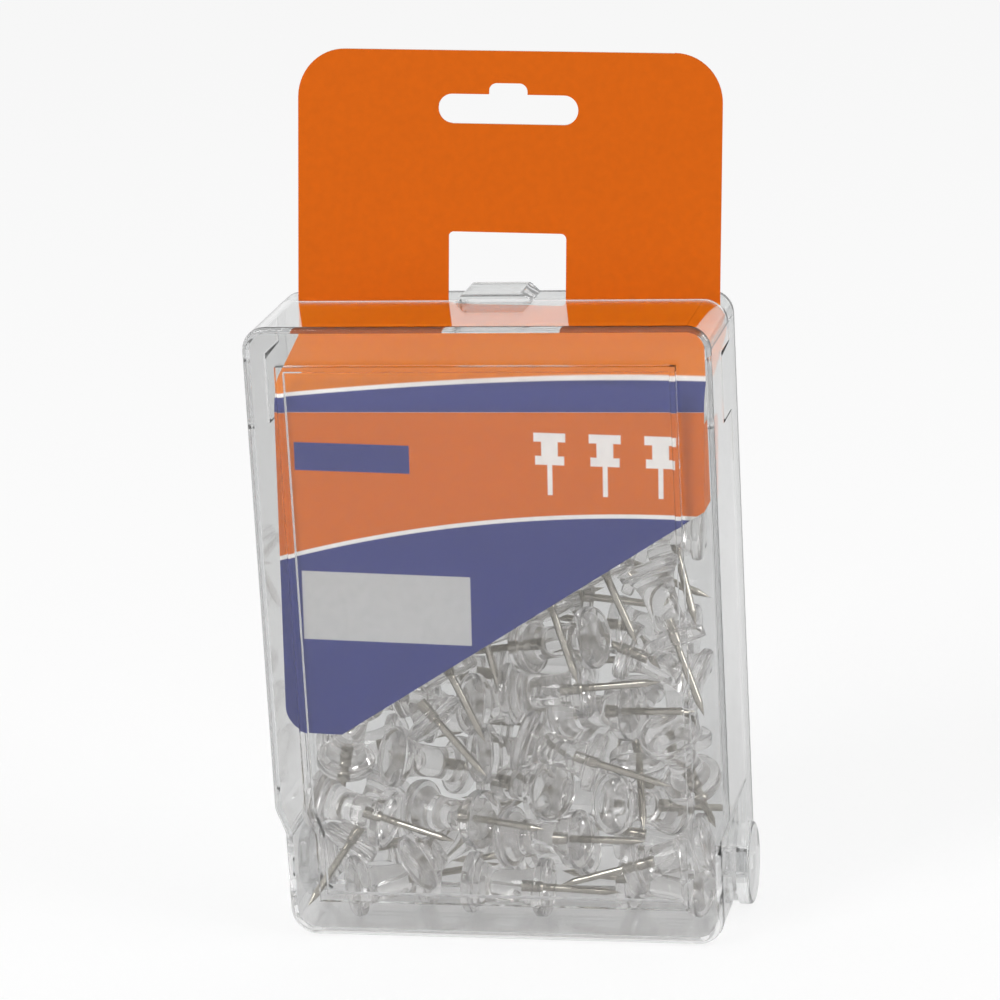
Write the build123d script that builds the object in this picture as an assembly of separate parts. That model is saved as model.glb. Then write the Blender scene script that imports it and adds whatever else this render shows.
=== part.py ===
from build123d import *
import math
import os

import numpy as np

# Retail box of push pins: a clear tray and lid, a folded header card and a pile of two-piece pins.
# All lengths are millimetres. X runs across the case, Y from front to back and Z up from the table.
# Depths are measured backward from the front plane of the case, which lies behind its raised panel.

# Case
case_width = 68.0
case_height = 93.0
case_depth = 23.3
wall = 1.0
top_round = 3.5
bottom_round = 4.0
edge_round = 0.7
foot_inset = 1.4
foot_top = 15.9
foot_blend = 3.7
foot_round = 3.0

# Raised front panel
panel_half = 29.0
panel_low = 5.8
panel_high = 87.5
panel_raise = 1.2

# Parting line and hinge
tray_edge = 17.1
parting_gap = 0.3
lid_back = 0.9
base_lift = 0.3
barrel_wall = 0.9
barrel_gap = 0.4
lip_overlap = 0.1
lip_rise = 0.5
stud_radius = 1.5
stud_fit = 0.05
stud_tip = 0.3
ear_gap = 0.3
ear_thickness = 1.9
ear_round = 0.5

# Side tongues and thumb hump of the lid
tongue_low = 76.75
tongue_high = 86.75
tongue_reach = 7.8
tongue_taper = 0.5
tongue_round = 1.2
tongue_fit = 0.25
hump_base = 11.2
hump_top = 8.6
hump_rise = 1.3
hump_reach = 2.5
hump_length = 7.0
hump_round = 0.5
hump_fit = 0.15

# Header card, which sits a little askew: turned clockwise about a point at card_pivot height
card_width = 62.4
card_board = 0.4
card_skew = 1.8
card_pivot = 38.5
card_fit = 0.05
slot_front = 16.6
slot_fit = 0.1
slot_side_fit = 0.3
tab_top = 128.6
tab_lean = 8.0
tab_round = 7.0
bend_height = 93.4
roof_back = 88.0
roof_front = 84.0
bend_round = 8.0
back_fold_round = 1.2
front_fold_round = 4.7
panel_bottom = 30.7
panel_corner = 4.0
slant_left = -22.8
slant_right_height = 66.8
flap_depth = 7.3
flap_high = 79.6
flap_round = 1.5
hang_length = 20.6
hang_height = 4.2
hang_drop = 8.3
hang_bump_width = 5.7
hang_bump_rise = 1.6
hang_bump_round = 1.2
card_notch_width = 17.4
card_notch_low = 91.5
card_notch_high = 102.7
card_notch_round = 0.8

# Push pin, heights from the needle's tip
needle_radius = 0.55
needle_tip = 2.2
needle_exposed = 10.8
needle_embedded = 4.0
handle_length = 12.7
collar_radius = 4.4
collar_height = 1.9
collar_shoulder = 0.5
waist_low_radius = 2.2
waist_high_radius = 2.6
head_radius = 4.6
head_height = 1.5
head_shoulder = 0.4

# Pile of pins
pin_count = 60
layer_count = 10
pile_ceiling = 79.2
miss_limit = 20
pin_spacing = 0.2
wall_spacing = 0.1
pile_seed = 1
pose_tries = 1200
pose_finalists = 8
settle_rounds = 80
settle_tries = 24

# How the pile is searched: where pins start, how they shake down and how finely they are felt
start_inset = 6.0
start_back = 5.3
start_low = 4.0
start_below = 30.0
start_lift = 6.0
lift_step = 4.0
first_level = 8.0
level_pins = 6
lean_limit = 0.7
shake_shift = 1.5
shake_shift_limit = 2.5
shake_turn = 0.35
shake_turn_limit = 0.5
shake_grow = 1.1
shake_shrink = 0.8
shake_end = 0.04
shake_bounce = 0.3
shake_fall = 0.6
balance_share = 0.62
table_step = 0.1
table_reach = 4.0
ring_points = 32
rim_ball = 0.2
axis_ball_step = 1.0
quick_look = 7
trough_floor_share = 0.8
trough_back_share = 0.6
trough_fit = 0.2

# Overshoot of cuts, and reach when corners are picked by height
spare = 1.0
snap = 0.1

# Values that follow from the ones above
half_width = case_width / 2
foot_half = half_width - foot_inset
front_y = panel_raise - (case_depth + panel_raise) / 2
lid_edge = tray_edge + parting_gap
back_reach = case_depth - tray_edge
hinge_height = back_reach + base_lift
barrel_outer = back_reach - lid_back - barrel_gap
barrel_inner = barrel_outer - barrel_wall
lid_low = hinge_height + lip_rise
ear_inner = foot_half + ear_gap
card_half = card_width / 2
card_front = wall + card_fit
pin_length = needle_exposed + handle_length
pin_middle = balance_share * pin_length
skew_rise = math.sin(math.radians(card_skew))
flap_inner = card_half + (slant_right_height - card_pivot) * skew_rise - 2 * card_board
flap_low = slant_right_height - card_half * skew_rise - card_board
card_place = Pos(0, card_pivot) * Rot(0, 0, -card_skew) * Pos(0, -card_pivot)

os.makedirs("parts", exist_ok=True)


def front_slab(view, near, far):
    """Extrude a front view, X across and Z up, between two depths."""
    plane = Plane(origin=(0, front_y + far, 0), x_dir=(1, 0, 0), z_dir=(0, -1, 0))
    return extrude(plane * view, far - near, dir=(0, -1, 0))


def side_slab(view, left, right):
    """Extrude a side view, depth across and Z up, between two X positions."""
    plane = Plane(origin=(left, front_y, 0), x_dir=(0, 1, 0), z_dir=(1, 0, 0))
    return extrude(plane * view, right - left, dir=(1, 0, 0))


def area(left, right, low, high):
    """A rectangle in either view, from its limits."""
    return Pos((left + right) / 2, (low + high) / 2) * Rectangle(right - left, high - low)


def rounded(view, low, high, radius):
    """Round those corners of a view that lie between two heights."""
    return fillet(view.vertices().filter_by_position(Axis.Y, low - snap, high + snap), radius)


def both_sides(solid):
    """A solid and its mirror image across the middle of the case."""
    return solid + mirror(solid, Plane.YZ)


def stepped_outline(inset, low, high):
    """Case outline seen from the front, narrower at the foot, moved in from the sides."""
    wide = half_width - inset
    narrow = foot_half - inset
    shoulder = foot_top + foot_blend
    right = [(narrow, low), (narrow, foot_top), (wide, shoulder), (wide, high)]
    left = [(-x, z) for x, z in reversed(right)]
    view = make_face(Polyline(*right, *left, close=True))
    return rounded(view, foot_top, shoulder, foot_round)


# Front tray: an open shell with a raised window panel, a hinge trough and two studs
outline = stepped_outline(0, 0, case_height)
outline = rounded(outline, 0, 0, bottom_round)
outline = rounded(outline, case_height, case_height, top_round)
tray = front_slab(outline, 0, tray_edge)
tray = fillet(tray.edges().group_by(Axis.Y)[0], edge_round)
tray -= front_slab(offset(outline, -wall), wall, tray_edge + spare)

panel = stepped_outline(half_width - panel_half, panel_low, panel_high)
tray += front_slab(panel, -panel_raise, wall)
tray -= front_slab(offset(panel, -wall), wall - panel_raise, wall + spare)

hinge = Pos(tray_edge, hinge_height)
trough = hinge * Circle(barrel_outer) - hinge * Circle(barrel_inner)
trough &= area(tray_edge - barrel_wall, case_depth, 0, lid_low + lip_overlap)
riser = area(tray_edge - barrel_wall, tray_edge, wall / 2, hinge_height - barrel_inner)
tray += side_slab(trough + riser, -foot_half, foot_half)
tray += both_sides(side_slab(hinge * Circle(barrel_outer), foot_half - wall, foot_half))
stud_end = ear_inner + ear_thickness - ear_round
stud = side_slab(hinge * Circle(stud_radius), foot_half - wall, stud_end)
stud = chamfer(stud.edges().group_by(Axis.X)[-1], stud_tip)
tray += both_sides(stud)

tongue_slot = area(lid_edge - tongue_reach - tongue_fit, tray_edge + spare,
                   tongue_low - tongue_fit, tongue_high + tongue_fit)
tray -= both_sides(side_slab(tongue_slot, half_width - wall - spare, half_width + spare))
card_slot = area(-card_half - slot_side_fit, card_half + slot_side_fit,
                 case_height - top_round, case_height + 2 * spare)
tray -= front_slab(card_place * card_slot, slot_front, tray_edge + spare)

# Rear lid: a shallow shell with hinge ears, side tongues and a thumb hump
cover = rounded(area(-half_width, half_width, lid_low, case_height),
                case_height, case_height, top_round)
lid = front_slab(cover, lid_edge, case_depth)
back_edges = lid.edges().group_by(Axis.Y)[-1]
lid = fillet(back_edges.filter_by_position(Axis.Z, lid_low + spare, case_height + spare), edge_round)
inside = rounded(area(wall - half_width, half_width - wall, lid_low - spare, case_height - wall),
                 case_height - wall, case_height, top_round - wall)
lid -= front_slab(inside, lid_edge - spare, case_depth - lid_back)

ear = side_slab(hinge * Circle(back_reach), ear_inner, ear_inner + ear_thickness)
ear = fillet(ear.edges().group_by(Axis.X)[-1], ear_round)
lid += both_sides(ear)
hole = side_slab(hinge * Circle(stud_radius + stud_fit), ear_inner - spare, ear_inner + ear_thickness + spare)
lid -= both_sides(hole)

tongue_front = lid_edge - tongue_reach
tongue = make_face(Polyline((tongue_front, tongue_low), (lid_edge + wall, tongue_low),
                            (lid_edge + wall, tongue_high), (lid_edge, tongue_high),
                            (tongue_front, tongue_high - tongue_taper), close=True))
tongue = fillet(tongue.vertices().group_by(Axis.X)[0], tongue_round)
lid += both_sides(side_slab(tongue, half_width - wall, half_width))

hump_low = case_height + hump_fit
hump = make_face(Polyline((-hump_base / 2, hump_low), (hump_base / 2, hump_low),
                          (hump_top / 2, hump_low + hump_rise), (-hump_top / 2, hump_low + hump_rise),
                          close=True))
hump = fillet(hump.vertices().group_by(Axis.Y)[-1], hump_round)
hump_root = area(-hump_base / 2, hump_base / 2, case_height - wall / 2, hump_low)
lid += front_slab(hump, lid_edge - hump_reach, lid_edge - hump_reach + hump_length)
lid += front_slab(hump_root, lid_edge, lid_edge - hump_reach + hump_length)

# Header card: one strip of board bent along its side view, then die-cut askew in the front view
board_back = slot_front + slot_fit
board_mid = board_back + card_board / 2
front_mid = card_front + card_board / 2
strip_top = tab_top + 2 * spare
strip_shift = (strip_top - bend_height) * math.tan(math.radians(tab_lean))
route = Polyline((board_mid + strip_shift, strip_top), (board_mid, bend_height), (board_mid, roof_back),
                 (front_mid, roof_front), (front_mid, panel_bottom - 2 * spare))
bends = ((bend_height, bend_round), (roof_back, back_fold_round), (roof_front, front_fold_round))
for height, radius in bends:
    corner = route.vertices().filter_by_position(Axis.Y, height - snap, height + snap)
    route = fillet(corner, radius)
strip = make_face(offset(route, card_board / 2, side=Side.BOTH, kind=Kind.TANGENT).edges())

die = make_face(Polyline((-card_half, tab_top), (card_half, tab_top), (card_half, slant_right_height),
                         (slant_left, panel_bottom), (-card_half, panel_bottom), close=True))
die = rounded(die, tab_top, tab_top, tab_round)
die = fillet(die.vertices().sort_by_distance((-card_half, panel_bottom))[0], panel_corner)
hang_middle = tab_top - hang_drop
bump_top = hang_middle + hang_height / 2 + hang_bump_rise
bump = area(-hang_bump_width / 2, hang_bump_width / 2, hang_middle, bump_top)
bump = fillet(bump.vertices().group_by(Axis.Y)[-1], hang_bump_round)
die -= Pos(0, hang_middle) * SlotOverall(hang_length, hang_height) + bump
notch = area(-card_notch_width / 2, card_notch_width / 2, card_notch_low, card_notch_high)
die -= fillet(notch.vertices(), card_notch_round)
card = side_slab(strip, -card_width, card_width) & front_slab(card_place * die, -spare, case_depth + spare)
flap = area(card_front, card_front + flap_depth, slant_right_height, flap_high)
flap = side_slab(fillet(flap.vertices().group_by(Axis.X)[-1], flap_round), card_half - card_board, card_half)
card += flap.rotate(Axis((0, 0, card_pivot), (0, 1, 0)), card_skew)

# One pin, standing on its tip: a moulded spool with a blind hole, and a pressed-in needle
collar_top = needle_exposed + collar_height
head_low = pin_length - head_height
hole_end = needle_exposed + needle_embedded
waist = [(collar_radius, needle_exposed), (collar_radius, collar_top),
         (waist_low_radius, collar_top + collar_shoulder), (waist_high_radius, head_low - head_shoulder),
         (head_radius, head_low), (head_radius, pin_length), (0, pin_length)]
bore = [(0, hole_end), (needle_radius, hole_end), (needle_radius, needle_exposed)]
point = [(0, 0), (needle_radius, needle_tip), (needle_radius, hole_end), (0, hole_end)]
handle = revolve(Plane.XZ * make_face(Polyline(*waist, *bore, close=True)), Axis.Z)
needle = revolve(Plane.XZ * make_face(Polyline(*point, close=True)), Axis.Z)

# Distance from a pin's surface, as a table over radius and height above the pin's middle
contour = np.array([(0, 0), (needle_radius, needle_tip), (needle_radius, needle_exposed)] + waist)
contour = contour - [0, pin_middle]
table_low = -pin_middle - table_reach
radii = np.arange(0, head_radius + 2 * table_reach, table_step)
heights = np.arange(table_low, pin_length - pin_middle + table_reach, table_step)
spots = np.stack(np.meshgrid(radii, heights, indexing="ij"), axis=-1)
surface_distance = np.full(spots.shape[:2], 1e9)
inside_pin = np.zeros(spots.shape[:2], bool)
for start, end in zip(contour[:-1], contour[1:]):
    run = end - start
    share = np.clip(((spots - start) @ run) / (run @ run), 0, 1)
    nearest = start + share[..., None] * run
    surface_distance = np.minimum(surface_distance, np.linalg.norm(spots - nearest, axis=-1))
    if run[1] != 0:
        crossed = (start[1] > spots[..., 1]) != (end[1] > spots[..., 1])
        edge_radius = start[0] + (spots[..., 1] - start[1]) / run[1] * run[0]
        inside_pin ^= crossed & (spots[..., 0] < edge_radius)
clearance_table = np.where(inside_pin, -surface_distance, surface_distance).astype(np.float32)

# Feeler balls on a pin: rings round the rims of the head and collar, and rows along the needle and waist
feelers = []
for radius, height in ((head_radius, pin_length - rim_ball), (head_radius, head_low + rim_ball),
                       (collar_radius, needle_exposed + rim_ball), (collar_radius, collar_top - rim_ball)):
    for turn in np.arange(ring_points) * 2 * math.pi / ring_points:
        reach = radius - rim_ball
        feelers.append((reach * math.cos(turn), reach * math.sin(turn), height - pin_middle, rim_ball))
for height in np.arange(axis_ball_step / 2, needle_exposed, axis_ball_step):
    feelers.append((0, 0, height - pin_middle, needle_radius * min(1, height / needle_tip)))
for height in np.arange(collar_top + axis_ball_step, head_low - head_shoulder, axis_ball_step):
    feelers.append((0, 0, height - pin_middle, waist_low_radius))
feelers.append((0, 0, pin_length - pin_middle - rim_ball, rim_ball))
feelers = np.array(feelers, np.float32)
ball = feelers[:, 3]


def unit(vectors):
    """Vectors scaled to length one."""
    return vectors / np.linalg.norm(vectors, axis=-1, keepdims=True)


def feel(middles, axes):
    """Positions of the feeler balls of pins with the given middles and axes."""
    helper = np.where(np.abs(axes[..., 2:3]) < 0.9, [0, 0, 1.0], [1.0, 0, 0])
    across = unit(np.cross(axes, helper))
    along = np.cross(axes, across)
    return (middles[..., None, :] + feelers[:, 0, None] * across[..., None, :]
            + feelers[:, 1, None] * along[..., None, :] + feelers[:, 2, None] * axes[..., None, :])


def pin_clearance(offsets, axes):
    """Distance from the surface of pins, for points given from the pins' middles."""
    height = (offsets * axes).sum(-1)
    radius = np.sqrt(np.maximum((offsets * offsets).sum(-1) - height * height, 0))
    row = np.minimum((radius / table_step + 0.5).astype(np.int32), clearance_table.shape[0] - 1)
    column = ((height - table_low) / table_step + 0.5).astype(np.int32)
    return clearance_table[row, np.clip(column, 0, clearance_table.shape[1] - 1)]


def room_clearance(points):
    """Distance from the walls of the box, its hinge trough and the card's side flap."""
    x, depth, z = points[..., 0], points[..., 1], points[..., 2]
    side = np.clip(foot_half + (z - foot_top) / foot_blend * foot_inset, foot_half, half_width) - wall
    space = np.minimum(side - np.abs(x), z - wall)
    space = np.minimum(space, np.minimum(depth - card_front - card_board, case_depth - lid_back - depth))
    step = hinge_height - trough_floor_share * barrel_inner
    space = np.minimum(space, np.maximum(tray_edge - barrel_wall - trough_fit - depth, z - step))
    trough_back = tray_edge + trough_back_share * barrel_inner
    space = np.minimum(space, np.maximum(trough_back - depth, z - lid_low - lip_overlap))
    corner = np.hypot(np.maximum(np.abs(x) - foot_half + bottom_round, 0), np.maximum(bottom_round - z, 0))
    space = np.minimum(space, bottom_round - wall - corner)
    beside_flap = np.maximum(flap_inner - x, flap_low - z)
    return np.minimum(space, np.maximum(beside_flap, depth - card_front - flap_depth - card_board))


middles = np.zeros((0, 3))
axes = np.zeros((0, 3))
felt = np.zeros((0, len(feelers), 3))
chance = np.random.default_rng(pile_seed)


def free(new_middles, new_axes):
    """Which of some new poses touch neither the box nor a pin that lies there already."""
    new_felt = feel(new_middles, new_axes)
    good = (room_clearance(new_felt) - ball).min(-1) >= wall_spacing
    spread = pin_length + np.ptp(new_middles, axis=0).max()
    near = np.linalg.norm(middles - new_middles.mean(0), axis=1) < spread
    if not near.any() or not good.any():
        return good
    for pick in (slice(None, None, quick_look), slice(None)):
        left = np.flatnonzero(good)
        offsets = new_felt[left][:, pick, None, :] - middles[near]
        outward = pin_clearance(offsets, axes[near]) - ball[pick, None]
        good[left] = outward.min((1, 2)) >= pin_spacing
    for pick in (slice(None, None, quick_look), slice(None)):
        left = np.flatnonzero(good)
        offsets = felt[near][None, :, pick] - new_middles[left][:, None, None, :]
        inward = pin_clearance(offsets, new_axes[left][:, None, None, :]) - ball[pick]
        good[left] = inward.min((1, 2)) >= pin_spacing
    return good


def settle(middle, axis):
    """Shake a pin downward in smaller and smaller moves until it rests."""
    shift, turn = shake_shift, shake_turn
    for trial in range(settle_rounds):
        moves = chance.normal(size=(settle_tries, 3)) * [shift, shift, shake_bounce * shift]
        new_middles = middle + moves - [0, 0, shake_fall * shift]
        new_axes = unit(axis + chance.normal(size=(settle_tries, 3)) * turn)
        good = free(new_middles, new_axes) & (new_middles[:, 2] < middle[2])
        if good.any():
            lowest = np.flatnonzero(good)[np.argmin(new_middles[good, 2])]
            middle, axis = new_middles[lowest], new_axes[lowest]
            shift, turn = min(shake_grow * shift, shake_shift_limit), min(shake_grow * turn, shake_turn_limit)
        else:
            shift, turn = shake_shrink * shift, shake_shrink * turn
        if shift < shake_end:
            break
    return middle, axis


# Drop the pins one by one: many random poses near the top of the pile, the lowest few settled, the best kept
misses = 0
while len(middles) < pin_count and misses < miss_limit:
    level = np.sort(middles[:, 2])[-level_pins:].mean() if len(middles) > level_pins else first_level
    lift = start_lift
    starts = []
    while len(starts) < pose_finalists:
        new_axes = chance.normal(size=(pose_tries, 3))
        new_axes[:, 1] = np.clip(new_axes[:, 1], -lean_limit, lean_limit)
        new_axes = unit(new_axes)
        low_corner = [start_inset - half_width, start_inset, max(start_low, level - start_below)]
        high_corner = [half_width - start_inset, case_depth - start_back, level + lift]
        new_middles = chance.uniform(low_corner, high_corner, (pose_tries, 3))
        good = np.flatnonzero(free(new_middles, new_axes))
        good = good[np.argsort(new_middles[good, 2])][:pose_finalists]
        starts += [(new_middles[choice], new_axes[choice]) for choice in good]
        lift += lift_step
    starts.sort(key=lambda pose: pose[0][2])
    rested = [settle(*pose) for pose in starts[:pose_finalists]]
    middle, axis = min(rested, key=lambda pose: pose[0][2])
    touched = feel(middle, axis)
    if touched[:, 2].max() > pile_ceiling:
        misses += 1
        continue
    middles = np.vstack([middles, middle])
    axes = np.vstack([axes, axis])
    felt = np.concatenate([felt, touched[None]])
pile_top = felt[..., 2].max()
print("pile of", len(middles), "pins reaches", round(float(pile_top), 1), "mm, ceiling", pile_ceiling)

# Files: one per moulding, and the pins' pieces by layers of the pile from the floor up
export_step(tray, "parts/front_tray.step")
export_step(lid, "parts/rear_lid.step")
export_step(card, "parts/header_card.step")
order = np.argsort(middles[:, 2])
for layer, members in enumerate(np.array_split(order, layer_count), start=1):
    handles = []
    needles = []
    for member in members:
        tip = middles[member] - axes[member] * pin_middle + [0, front_y, 0]
        place = Plane(origin=tuple(tip), z_dir=tuple(axes[member])).location
        handles.append(place * handle)
        needles.append(place * needle)
    export_step(Compound(children=handles), f"parts/pin_handles_{layer:02d}.step")
    export_step(Compound(children=needles), f"parts/pin_needles_{layer:02d}.step")
for name, solid in (("tray", tray), ("lid", lid), ("card", card), ("handle", handle), ("needle", needle)):
    size = solid.bounding_box().size
    print(name, [round(v, 2) for v in size], "volume", round(solid.volume, 1), "solids", len(solid.solids()))
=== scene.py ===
# %% [markdown]
# # A retail box of clear push pins
# The object is a small clear box that hangs in a shop. It holds a pile of clear push pins, and a folded
# printed card shows through its front and stands up behind it as a hang tab. The measured model comes in
# as a fixed frame, in metres, and this lesson gives it its looks.

# %% Load the measured model
import math

import bpy
import numpy as np
from mathutils import Matrix, Vector


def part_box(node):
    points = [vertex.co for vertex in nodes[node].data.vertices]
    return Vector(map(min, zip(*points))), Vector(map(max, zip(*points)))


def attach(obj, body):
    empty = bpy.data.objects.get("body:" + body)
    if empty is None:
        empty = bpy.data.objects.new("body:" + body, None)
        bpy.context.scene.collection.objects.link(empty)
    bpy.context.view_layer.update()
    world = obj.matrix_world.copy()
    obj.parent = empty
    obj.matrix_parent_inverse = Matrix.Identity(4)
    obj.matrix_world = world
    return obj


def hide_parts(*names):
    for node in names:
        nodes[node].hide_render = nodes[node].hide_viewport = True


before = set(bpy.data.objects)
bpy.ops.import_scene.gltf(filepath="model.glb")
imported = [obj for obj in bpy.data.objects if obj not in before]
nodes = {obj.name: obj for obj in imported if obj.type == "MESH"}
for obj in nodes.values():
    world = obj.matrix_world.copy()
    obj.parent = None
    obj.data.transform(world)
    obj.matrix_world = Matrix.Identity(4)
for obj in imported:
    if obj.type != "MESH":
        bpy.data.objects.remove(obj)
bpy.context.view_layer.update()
scene = bpy.context.scene
MM = 0.001

# %% [markdown]
# ## Small helpers for finishes
# Print and plastic colours are written as sRGB hex values, the way a printer or a moulder would give them.
# Shaders work in linear light, so one function converts them. A second one adds a node with its settings
# and links, which keeps each finish short enough to read, and a third starts a finish with its shader and
# its output.

# %% Colour and node helpers
def linear(hex_colour):
    """An sRGB hex colour as linear RGBA."""
    channels = [int(hex_colour[i:i + 2], 16) / 255 for i in (1, 3, 5)]
    curve = [c / 12.92 if c <= 0.04045 else ((c + 0.055) / 1.055) ** 2.4 for c in channels]
    return (*curve, 1.0)


def add_node(tree, kind, settings=None, **inputs):
    """A node of that kind. Settings are its properties; inputs are socket values, or sockets to link."""
    node = tree.nodes.new(kind)
    for name, value in (settings or {}).items():
        setattr(node, name, value)
    for name, value in inputs.items():
        socket = node.inputs[int(name[1:])] if name[0] == "_" else node.inputs[name.replace("_", " ")]
        if isinstance(value, bpy.types.NodeSocket):
            tree.links.new(value, socket)
        else:
            socket.default_value = value
    return node


def new_material(name):
    """An empty node material with its output and its principled shader."""
    material = bpy.data.materials.new(name)
    material.use_nodes = True
    tree = material.node_tree
    tree.nodes.clear()
    shader = tree.nodes.new("ShaderNodeBsdfPrincipled")
    output = tree.nodes.new("ShaderNodeOutputMaterial")
    tree.links.new(shader.outputs["BSDF"], output.inputs["Surface"])
    return material, tree, shader


print("helpers ready; mid grey is", round(linear("#808080")[0], 3))

# %% [markdown]
# ## Clear polystyrene of the box and the pin handles
# They are injection-moulded polystyrene: stiff, glossy and clear, with bright edges. A thin glass trick would
# do for flat panes, but these walls are closed solids with real thickness, so plain refraction gives the
# edges by itself. Polystyrene's index is near 1.59, but the photographed walls mirror less, so 1.5 was
# matched to them. A faint grey tint, and a little haze in the lid and the handles, give the soft grey of
# several walls one behind another. Handling leaves fine scuffs, which show as a slight change of gloss.

# %% Clear plastic
PLASTIC_INDEX = 1.5
POLISHED_ROUGHNESS = 0.01
SCUFFS_START = 0.45
SCUFFS_FULL = 0.75


def clear_polystyrene(name, tint, clarity, scuff_mm, scuff_roughness):
    """Clear moulded polystyrene with faint scuffs of a given size. Clarity is the share that isn't haze."""
    material, tree, shader = new_material(name)
    place = add_node(tree, "ShaderNodeTexCoord")
    scuffs = add_node(tree, "ShaderNodeTexNoise", Vector=place.outputs["Object"], Scale=1 / (scuff_mm * MM),
                      Detail=4.0, Roughness=0.6)
    gloss = add_node(tree, "ShaderNodeMapRange", Value=scuffs.outputs["Fac"], From_Min=SCUFFS_START,
                     From_Max=SCUFFS_FULL, To_Min=POLISHED_ROUGHNESS, To_Max=scuff_roughness)
    tree.links.new(gloss.outputs["Result"], shader.inputs["Roughness"])
    shader.inputs["Base Color"].default_value = linear(tint)
    shader.inputs["IOR"].default_value = PLASTIC_INDEX
    shader.inputs["Transmission Weight"].default_value = clarity
    return material


tray_plastic = clear_polystyrene("clear_polystyrene_tray", "#EBEBEB", 1.0, 6.0, 0.06)
lid_plastic = clear_polystyrene("clear_polystyrene_lid", "#E8E9E9", 0.96, 6.0, 0.06)
handle_plastic = clear_polystyrene("clear_polystyrene_handle", "#EEEDEC", 0.96, 2.0, 0.05)
print("clear plastics:", tray_plastic.name, lid_plastic.name, handle_plastic.name)

# %% [markdown]
# ## Nickel-plated needle wire
# The needles are drawn steel wire, ground to a point and nickel-plated. Nickel is a slightly warm grey
# metal. Plating leaves a faint cloudiness, too fine to see at this size, so it is drawn coarser, and it only
# varies the tone and the gloss a little. The values of a noise pattern lie mostly between 0.3 and 0.7.

# %% Needle metal
CLOUD_SIZE = 1.5
NOISE_LOW = 0.3
NOISE_HIGH = 0.7


def nickel_plated_steel():
    """Bright nickel plate with a faint cloudiness."""
    material, tree, shader = new_material("nickel_plated_steel_wire")
    place = add_node(tree, "ShaderNodeTexCoord")
    cloud = add_node(tree, "ShaderNodeTexNoise", Vector=place.outputs["Object"], Scale=1 / (CLOUD_SIZE * MM),
                     Detail=3.0)
    gloss = add_node(tree, "ShaderNodeMapRange", Value=cloud.outputs["Fac"], From_Min=NOISE_LOW,
                     From_Max=NOISE_HIGH, To_Min=0.1, To_Max=0.22)
    colour = add_node(tree, "ShaderNodeMix", {"data_type": "RGBA"}, _0=cloud.outputs["Fac"],
                      _6=linear("#A6A298"), _7=linear("#C8C4BC"))
    tree.links.new(colour.outputs[2], shader.inputs["Base Color"])
    tree.links.new(gloss.outputs["Result"], shader.inputs["Roughness"])
    shader.inputs["Metallic"].default_value = 1.0
    return material


needle_metal = nickel_plated_steel()
print("needle metal:", needle_metal.name)

# %% [markdown]
# ## Printed board of the header card
# The card is coated board, offset-printed on the side that faces the shopper and bare on the other. The
# print could be a picture, but plain shapes stay sharp at any size, so it is drawn from places on the card:
# an orange ground, blue fields with curved borders and thin white lines, a blank grey label, and small signs
# of a pin. The orange on the roof is lighter, partly a lighter print field and partly painted light from
# above.
# Places are millimetres on the card before it was put in askew, and the fold and the bend are heights in the
# box. Each shape gives how deep a place lies inside it, and the inks are laid one over another.

# %% Shapes of the print
card_low, card_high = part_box("header_card")
CARD_SKEW = math.radians(1.8)
CARD_PIVOT = 38.5
FOLD_HEIGHT = 80.4
BEND_HEIGHT = 92.4
INK_SOFTNESS = 0.08
# A disc has its middle's X and Z and its radius, and a bar its middle's X and Z, its width and its height.
# The pieces of a sign have their rise over the sign's place, their width and their height.
PANEL_FIELD = (26.0, -134.5, 200.0)
PANEL_LINE = 0.6
ROOF_FIELD = (37.0, -514.6, 600.0)
ROOF_LINE = 0.5
LABEL = (-15.5, 50.5, 25.0, 10.4)
BLUE_BAR = (-20.0, 73.0, 17.0, 4.2)
SIGN_HEIGHT = 73.0
SIGN_PLACES = (9.0, 17.0, 25.0)
SIGN_PIECES = ((4.0, 4.6, 1.3), (2.4, 2.4, 3.0), (0.6, 4.2, 1.3), (-2.2, 0.7, 4.6))


def disc(tree, place, middle_x, middle_z, radius, border=0.0):
    """Depth inside a disc of the print and its border. A large one gives a field a gently curved edge."""
    away = add_node(tree, "ShaderNodeVectorMath", {"operation": "DISTANCE"}, _0=place,
                    _1=(middle_x * MM, 0, middle_z * MM))
    depth = add_node(tree, "ShaderNodeMath", {"operation": "SUBTRACT"}, _0=(radius + border) * MM,
                     _1=away.outputs["Value"])
    return depth.outputs[0]


def bar(tree, place, middle_x, middle_z, width, height):
    """Depth inside an upright rectangle of the print."""
    offset = add_node(tree, "ShaderNodeVectorMath", {"operation": "SUBTRACT"}, _0=place,
                      _1=(middle_x * MM, 0, middle_z * MM))
    reach = add_node(tree, "ShaderNodeVectorMath", {"operation": "ABSOLUTE"}, _0=offset.outputs[0])
    room = add_node(tree, "ShaderNodeVectorMath", {"operation": "SUBTRACT"},
                    _0=(width / 2 * MM, 0, height / 2 * MM), _1=reach.outputs[0])
    split = add_node(tree, "ShaderNodeSeparateXYZ", Vector=room.outputs[0])
    depth = add_node(tree, "ShaderNodeMath", {"operation": "MINIMUM"}, _0=split.outputs["X"],
                     _1=split.outputs["Z"])
    return depth.outputs[0]


def pin_sign(tree, place, middle_x, middle_z):
    """Depth inside a small sign of a pin: head, waist, collar and needle, one below another."""
    bars = [bar(tree, place, middle_x, middle_z + rise, width, height) for rise, width, height in SIGN_PIECES]
    depth = bars[0]
    for part in bars[1:]:
        depth = add_node(tree, "ShaderNodeMath", {"operation": "MAXIMUM"}, _0=depth, _1=part).outputs[0]
    return depth


print("card height in mm:", round((card_high.z - card_low.z) / MM, 1))

# %% Card print
FIBRE_SIZE = 1.2
SHOWN_SIDE = (0.6, -0.7, 0.4)
EDGE_LIMIT = 0.45


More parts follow.
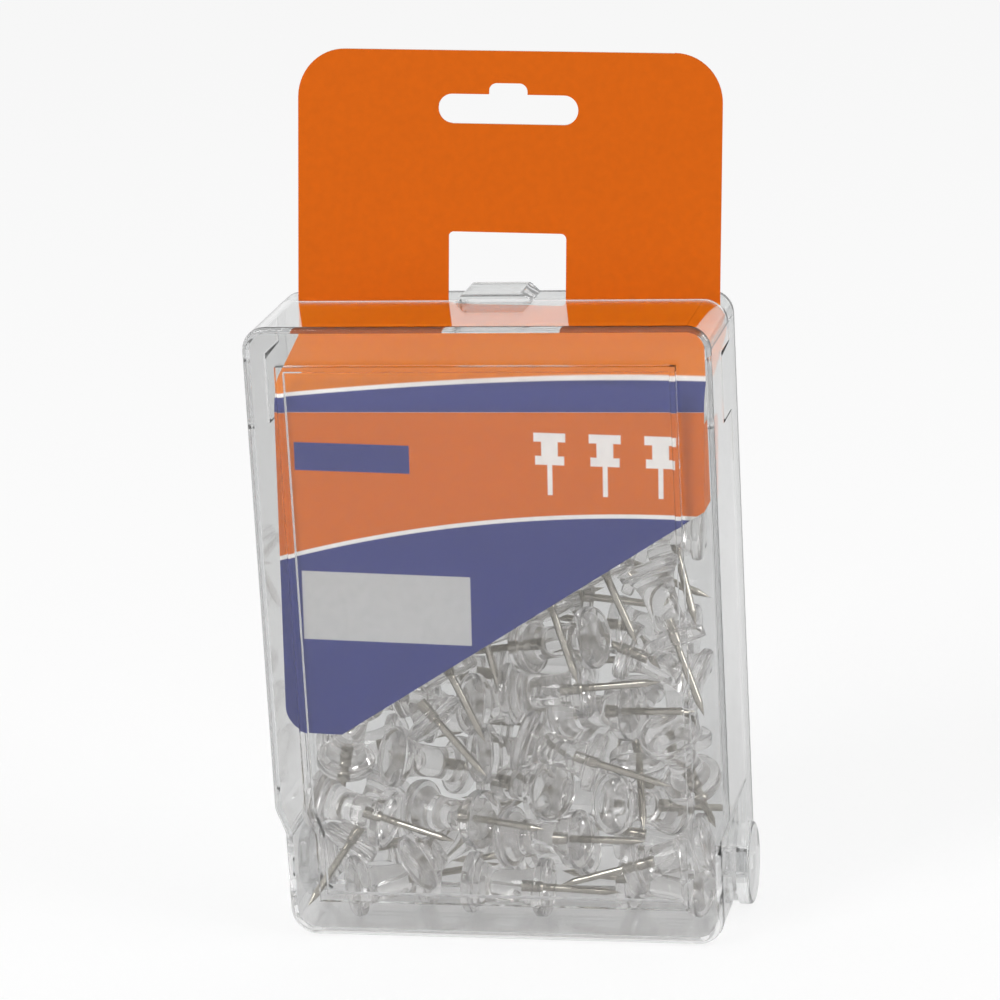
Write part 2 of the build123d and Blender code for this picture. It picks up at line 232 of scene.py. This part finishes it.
def printed_board():
    """Coated board: orange and blue print on the shown side, bare grey-white board behind."""
    material, tree, shader = new_material("printed_coated_board")
    place = add_node(tree, "ShaderNodeTexCoord")
    turn_x = CARD_PIVOT * MM * math.sin(CARD_SKEW)
    turn_z = CARD_PIVOT * MM * (1 - math.cos(CARD_SKEW))
    sheet = add_node(tree, "ShaderNodeMapping", {"vector_type": "POINT"}, Vector=place.outputs["Object"],
                     Location=(turn_x, 0, turn_z), Rotation=(0, -CARD_SKEW, 0), Scale=(1, 0, 1)).outputs[0]
    height = add_node(tree, "ShaderNodeSeparateXYZ", Vector=place.outputs["Object"]).outputs["Z"]
    above_fold = add_node(tree, "ShaderNodeMath", {"operation": "SUBTRACT"}, _0=height, _1=FOLD_HEIGHT * MM)
    above_bend = add_node(tree, "ShaderNodeMath", {"operation": "SUBTRACT"}, _0=height, _1=BEND_HEIGHT * MM)
    roof_line = add_node(tree, "ShaderNodeMath", {"operation": "MINIMUM"}, _0=above_fold.outputs[0],
                         _1=disc(tree, sheet, *ROOF_FIELD, border=ROOF_LINE))
    roof_field = add_node(tree, "ShaderNodeMath", {"operation": "MINIMUM"}, _0=above_fold.outputs[0],
                          _1=disc(tree, sheet, *ROOF_FIELD))
    # The roof's lighter orange is partly a lighter print field and partly painted light from above, in place
    # of a top lamp.
    panel_orange, roof_orange_with_painted_light, tab_orange = linear("#D56A08"), linear("#DE7A08"), linear("#D26008")
    blue, white, grey = linear("#3A407F"), linear("#F2F1EE"), linear("#C4C4C3")
    inks = [(roof_orange_with_painted_light, above_fold.outputs[0]), (tab_orange, above_bend.outputs[0]),
            (white, roof_line.outputs[0]), (blue, roof_field.outputs[0]),
            (white, disc(tree, sheet, *PANEL_FIELD, border=PANEL_LINE)),
            (blue, disc(tree, sheet, *PANEL_FIELD)),
            (grey, bar(tree, sheet, *LABEL)), (blue, bar(tree, sheet, *BLUE_BAR))]
    inks += [(white, pin_sign(tree, sheet, sign_x, SIGN_HEIGHT)) for sign_x in SIGN_PLACES]
    ink = panel_orange
    for colour, depth in inks:
        amount = add_node(tree, "ShaderNodeMapRange", Value=depth, From_Min=-INK_SOFTNESS * MM,
                          From_Max=INK_SOFTNESS * MM, To_Min=0.0, To_Max=1.0)
        ink = add_node(tree, "ShaderNodeMix", {"data_type": "RGBA"}, _0=amount.outputs["Result"], _6=ink,
                       _7=colour).outputs[2]

    # Board fibres are finer than this; they are drawn coarser so that their mottle shows.
    fibre = add_node(tree, "ShaderNodeTexNoise", Vector=place.outputs["Object"], Scale=1 / (FIBRE_SIZE * MM),
                     Detail=5.0)
    mottle = add_node(tree, "ShaderNodeMapRange", Value=fibre.outputs["Fac"], From_Min=NOISE_LOW,
                      From_Max=NOISE_HIGH, To_Min=0.96, To_Max=1.03)
    mottled = add_node(tree, "ShaderNodeMix", {"data_type": "RGBA", "blend_type": "MULTIPLY"}, _0=1.0, _6=ink,
                       _7=mottle.outputs["Result"])
    # The tab, the panel, the roof and the flap all face this way; the back and the top edge don't.
    facing = add_node(tree, "ShaderNodeVectorMath", {"operation": "DOT_PRODUCT"}, _0=place.outputs["Normal"],
                      _1=SHOWN_SIDE)
    shown = add_node(tree, "ShaderNodeMath", {"operation": "GREATER_THAN"}, _0=facing.outputs["Value"],
                     _1=EDGE_LIMIT)
    sides = add_node(tree, "ShaderNodeMix", {"data_type": "RGBA"}, _0=shown.outputs[0], _6=linear("#DAD7CF"),
                     _7=mottled.outputs[2])
    gloss = add_node(tree, "ShaderNodeMapRange", Value=fibre.outputs["Fac"], From_Min=NOISE_LOW,
                     From_Max=NOISE_HIGH, To_Min=0.5, To_Max=0.62)
    bump = add_node(tree, "ShaderNodeBump", Height=fibre.outputs["Fac"], Strength=0.04,
                    Distance=0.02 * MM)
    tree.links.new(sides.outputs[2], shader.inputs["Base Color"])
    tree.links.new(gloss.outputs["Result"], shader.inputs["Roughness"])
    tree.links.new(bump.outputs["Normal"], shader.inputs["Normal"])
    shader.inputs["Specular IOR Level"].default_value = 0.1
    return material


card_print = printed_board()
print("card print:", card_print.name, "nodes:", len(card_print.node_tree.nodes))

# %% [markdown]
# ## Finishes on the measured pieces
# The tray, lid, card and needles already have their true shapes, so they only get their finishes. Round
# faces are shaded smooth, and edges that turn by more than a third of a right angle stay crisp.

# %% Dress the measured pieces
CREASE = math.radians(30)


def dress(piece, material):
    """Give a piece one finish and smooth shading between its crisp edges."""
    piece.data.materials.clear()
    piece.data.materials.append(material)
    piece.data.shade_smooth()
    piece.data.set_sharp_from_angle(angle=CREASE)


dress(nodes["front_tray"], tray_plastic)
dress(nodes["rear_lid"], lid_plastic)
dress(nodes["header_card"], card_print)
needle_nodes = sorted(name for name in nodes if name.startswith("pin_needles_"))
for name in needle_nodes:
    dress(nodes[name], needle_metal)
print("dressed:", 3 + len(needle_nodes))

# %% [markdown]
# ## Moulded pin handles
# Each handle is a small moulded spool: a collar round the needle, a drawn-in waist and a head to press on.
# The moulded one has rounded rims and a hollow waist, so its outline is turned round the axis as a lathe
# would. Where each pin lies is read from its needle: the tip is the needle's far point, and the axis runs
# from there to the middle of the other end.

# %% Pin outline
NEEDLE_SHOWN = 10.8
HANDLE_LENGTH = 12.7
PIN_LENGTH = NEEDLE_SHOWN + HANDLE_LENGTH
NEEDLE_RADIUS = 0.55
COLLAR_RADIUS = 4.4
COLLAR_HEIGHT = 1.9
HEAD_RADIUS = 4.6
HEAD_HEIGHT = 1.5
WAIST_RADIUS = 2.2
WAIST_TAPER = 0.4
COLLAR_FLARE = 0.9
HEAD_FLARE = 1.1
WAIST_INSET = 0.1
RIM = 0.45
RIM_STEPS = 4
WAIST_STEPS = 10


def rim_arc(radius, low, high):
    """A disc's edge with rounded corners, from its lower face to its upper one."""
    arc = []
    for centre_z, start in ((low + RIM, -90), (high - RIM, 0)):
        for step in range(RIM_STEPS + 1):
            angle = math.radians(start + 90 / RIM_STEPS * step)
            arc.append((radius - RIM + RIM * math.cos(angle), centre_z + RIM * math.sin(angle)))
    return arc


def handle_outline():
    """Half outline of the handle, from the needle's exit round the rims to the middle of the head."""
    collar_top = NEEDLE_SHOWN + COLLAR_HEIGHT
    head_low = PIN_LENGTH - HEAD_HEIGHT
    outline = [(NEEDLE_RADIUS, NEEDLE_SHOWN)]
    outline += rim_arc(COLLAR_RADIUS, NEEDLE_SHOWN, collar_top)
    waist_low, waist_high = collar_top + WAIST_INSET, head_low - WAIST_INSET
    for step in range(WAIST_STEPS + 1):
        share = step / WAIST_STEPS
        hollow = abs(2 * share - 1) ** 3
        flare = COLLAR_FLARE if share < 0.5 else HEAD_FLARE
        radius = WAIST_RADIUS + WAIST_TAPER * share + hollow * flare
        outline.append((radius, waist_low + share * (waist_high - waist_low)))
    outline += rim_arc(HEAD_RADIUS, head_low, PIN_LENGTH)
    outline.append((0.0, PIN_LENGTH))
    return outline


outline = handle_outline()
print("handle outline points:", len(outline))

# %% Read the pins' places from the needles
END_SLICE = 0.02


def loose_parts(mesh):
    """Vertex positions of each separate part of a mesh."""
    points = np.array([v.co for v in mesh.vertices])
    keys, inverse = np.unique(np.round(points, 7), axis=0, return_inverse=True)
    group = np.arange(len(keys))
    edges = inverse.reshape(-1)[np.array([e.vertices[:] for e in mesh.edges])]
    changed = True
    while changed:
        lower = np.minimum(group[edges[:, 0]], group[edges[:, 1]])
        merged = group.copy()
        np.minimum.at(merged, edges[:, 0], lower)
        np.minimum.at(merged, edges[:, 1], lower)
        changed = not np.array_equal(merged, group)
        group = merged
    return [keys[group == label] for label in np.unique(group)]


def pin_place(points):
    """Matrix that stands a pin on its needle's tip, from the needle's points."""
    middle = points.mean(0)
    direction = np.linalg.svd(points - middle)[2][0]
    along = (points - middle) @ direction
    ends = [points[along < along.min() + END_SLICE * MM], points[along > along.max() - END_SLICE * MM]]
    tip, root = sorted(ends, key=lambda end: np.ptp(end, axis=0).sum())
    axis = Vector(root.mean(0) - tip.mean(0)).normalized()
    turn = axis.to_track_quat("Z", "Y").to_matrix().to_4x4()
    return Matrix.Translation(Vector(tip.mean(0))) @ turn


layer_places = {name: [pin_place(part) for part in loose_parts(nodes[name].data)] for name in needle_nodes}
print("pins:", sum(len(places) for places in layer_places.values()))

# %% Turn the handles
TURNS = 40


def turned_handles(name, places):
    """One mesh with a handle at each place."""
    points = []
    faces = []
    for place in places:
        rows = []
        for radius, height in outline:
            count = TURNS if radius > 0 else 1
            rows.append(range(len(points), len(points) + count))
            for step in range(count):
                angle = 2 * math.pi * step / TURNS
                local = Vector((radius * math.cos(angle), radius * math.sin(angle), height)) * MM
                points.append(place @ local)
        for lower, upper in zip(rows[:-1], rows[1:]):
            for step in range(TURNS):
                after = (step + 1) % TURNS
                if len(upper) == 1:
                    faces.append((lower[step], lower[after], upper[0]))
                else:
                    faces.append((lower[step], lower[after], upper[after], upper[step]))
        faces.append(tuple(reversed(rows[0])))
    mesh = bpy.data.meshes.new(name)
    mesh.from_pydata(points, [], faces)
    mesh.validate()
    piece = bpy.data.objects.new(name, mesh)
    scene.collection.objects.link(piece)
    return piece


for needle_name, places in layer_places.items():
    node_name = needle_name.replace("needles", "handles")
    handles = turned_handles(node_name.replace("pin_", "moulded_"), places)
    dress(handles, handle_plastic)
    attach(handles, "tray")
    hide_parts(node_name)
print("handle layers:", len(layer_places))

# %% [markdown]
# ## White floor
# The photograph shows the pack on white. The floor is white board that keeps a soft shadow, a hair below the
# pack so that the two don't share a face. A lamp strong enough to make it white would bleach the card, so the
# board glows instead: most for the camera, and less for what is seen through the plastic or mirrored in it,
# which leaves the walls their soft grey.

# %% Floor
FLOOR_WIDTH = 6.0
FLOOR_DROP = 0.2 * MM
FLOOR_GLOW = {"Is Camera Ray": 0.8, "Is Glossy Ray": 0.25, "Is Transmission Ray": 0.25}

bpy.ops.mesh.primitive_plane_add(size=FLOOR_WIDTH, location=(0, 0, -FLOOR_DROP))
floor = bpy.context.object
floor.name = "floor"
floor_paint = bpy.data.materials.new("white_floor_board")
floor_paint.use_nodes = True
tree = floor_paint.node_tree
tree.nodes.clear()
rays = add_node(tree, "ShaderNodeLightPath")
share = 0.0
for kind, amount in FLOOR_GLOW.items():
    seen = add_node(tree, "ShaderNodeMath", {"operation": "MULTIPLY"}, _0=rays.outputs[kind], _1=amount)
    share = add_node(tree, "ShaderNodeMath", {"operation": "MAXIMUM"}, _0=seen.outputs[0],
                     _1=share).outputs[0]
board = add_node(tree, "ShaderNodeBsdfDiffuse", Color=linear("#F4F4F4"))
glow = add_node(tree, "ShaderNodeEmission", Color=(1, 1, 1, 1), Strength=1.0)
mixed = add_node(tree, "ShaderNodeMixShader", _0=share, _1=board.outputs[0], _2=glow.outputs[0])
add_node(tree, "ShaderNodeOutputMaterial", Surface=mixed.outputs[0])
floor.data.materials.append(floor_paint)
print("floor:", floor.name, "glow:", FLOOR_GLOW)

# %% [markdown]
# ## White world
# The world stands for the studio round the pack. It is white wherever it is seen, straight on, through the
# plastic or mirrored in it. A world of one brightness would light the card flatly, so the light that it sheds
# is weaker from the front than from behind.

# %% World
FRONT_LIGHT = 0.34
BACK_LIGHT = 0.8
# A direction's Y runs from -1 at the front to 1 at the back. The light changes between these two.
FRONT_END = -0.6
BACK_START = 0.35
SEEN_RAYS = ("Is Camera Ray", "Is Glossy Ray", "Is Transmission Ray")

world = bpy.data.worlds.new("studio")
scene.world = world
world.use_nodes = True
tree = world.node_tree
tree.nodes.clear()
direction = add_node(tree, "ShaderNodeTexCoord")
parts = add_node(tree, "ShaderNodeSeparateXYZ", Vector=direction.outputs["Generated"])
shade = add_node(tree, "ShaderNodeMapRange", Value=parts.outputs["Y"], From_Min=FRONT_END,
                 From_Max=BACK_START, To_Min=FRONT_LIGHT, To_Max=BACK_LIGHT)
rays = add_node(tree, "ShaderNodeLightPath")
strength = shade.outputs["Result"]
for kind in SEEN_RAYS:
    strength = add_node(tree, "ShaderNodeMath", {"operation": "MAXIMUM"}, _0=strength,
                        _1=rays.outputs[kind]).outputs[0]
sky = add_node(tree, "ShaderNodeBackground", Color=(1, 1, 1, 1), Strength=strength)
add_node(tree, "ShaderNodeOutputWorld", Surface=sky.outputs[0])
print("world:", world.name)

# %% [markdown]
# ## Two soft lamps
# Gloss needs something bright to mirror. A point lamp would give hard dots, so two square softboxes stand at
# the front left and at the right. They are weak, because the world already lights the pack.

# %% Lamps
BOX_MIDDLE = Vector((0, 0, 50)) * MM


def softbox(name, place, size, watts):
    """A square soft lamp that points at the middle of the box."""
    lamp = bpy.data.lights.new(name, "AREA")
    lamp.size = size
    lamp.energy = watts
    holder = bpy.data.objects.new(name, lamp)
    scene.collection.objects.link(holder)
    holder.location = place
    aim = BOX_MIDDLE - Vector(place)
    holder.rotation_euler = aim.to_track_quat("-Z", "Y").to_euler()


softbox("key_softbox", place=(-0.55, -0.7, 0.75), size=0.45, watts=6.0)
softbox("side_softbox", place=(0.8, -0.25, 0.5), size=0.35, watts=2.6)

# %% [markdown]
# ## Camera
# The camera was fitted to the box's edges in the photograph. It has a long lens and stands a little to the
# right and above, and it is slightly tilted. A constraint could aim it, but it can't tilt as well, so its
# axes are worked out from the angles.

# %% Camera
LENS = 145.66
DISTANCE = 590.7 * MM
AZIMUTH = math.radians(12.35)
ELEVATION = math.radians(15.92)
ROLL = math.radians(-3.14)
AIM = Vector((0.1, 0.92, 64.13)) * MM

back = Vector((math.sin(AZIMUTH) * math.cos(ELEVATION), -math.cos(AZIMUTH) * math.cos(ELEVATION),
               math.sin(ELEVATION)))
right = (-back).cross(Vector((0, 0, 1))).normalized()
up = right.cross(-back)
tilted_right = right * math.cos(ROLL) + up * math.sin(ROLL)
tilted_up = up * math.cos(ROLL) - right * math.sin(ROLL)
lens = bpy.data.cameras.new("camera")
lens.lens = LENS
lens.sensor_width = 36.0
lens.clip_start = 0.01
camera = bpy.data.objects.new("camera", lens)
scene.collection.objects.link(camera)
camera.matrix_world = Matrix.Translation(AIM + back * DISTANCE) @ Matrix(
    (tilted_right, tilted_up, back)).transposed().to_4x4()
scene.camera = camera
print("camera at mm:", [round(v / MM) for v in camera.location])

# %% [markdown]
# ## View and light paths
# The standard view keeps the inks as they are written. A line of sight passes many clear walls, one behind
# another, so light paths are long, and light that has passed a wall isn't blurred.

# %% View and light paths
scene.view_settings.view_transform = "Standard"
scene.cycles.blur_glossy = 0.0
scene.cycles.max_bounces = 40
scene.cycles.transmission_bounces = 40
scene.cycles.glossy_bounces = 12
scene.cycles.transparent_max_bounces = 16
print("longest light path:", scene.cycles.max_bounces)
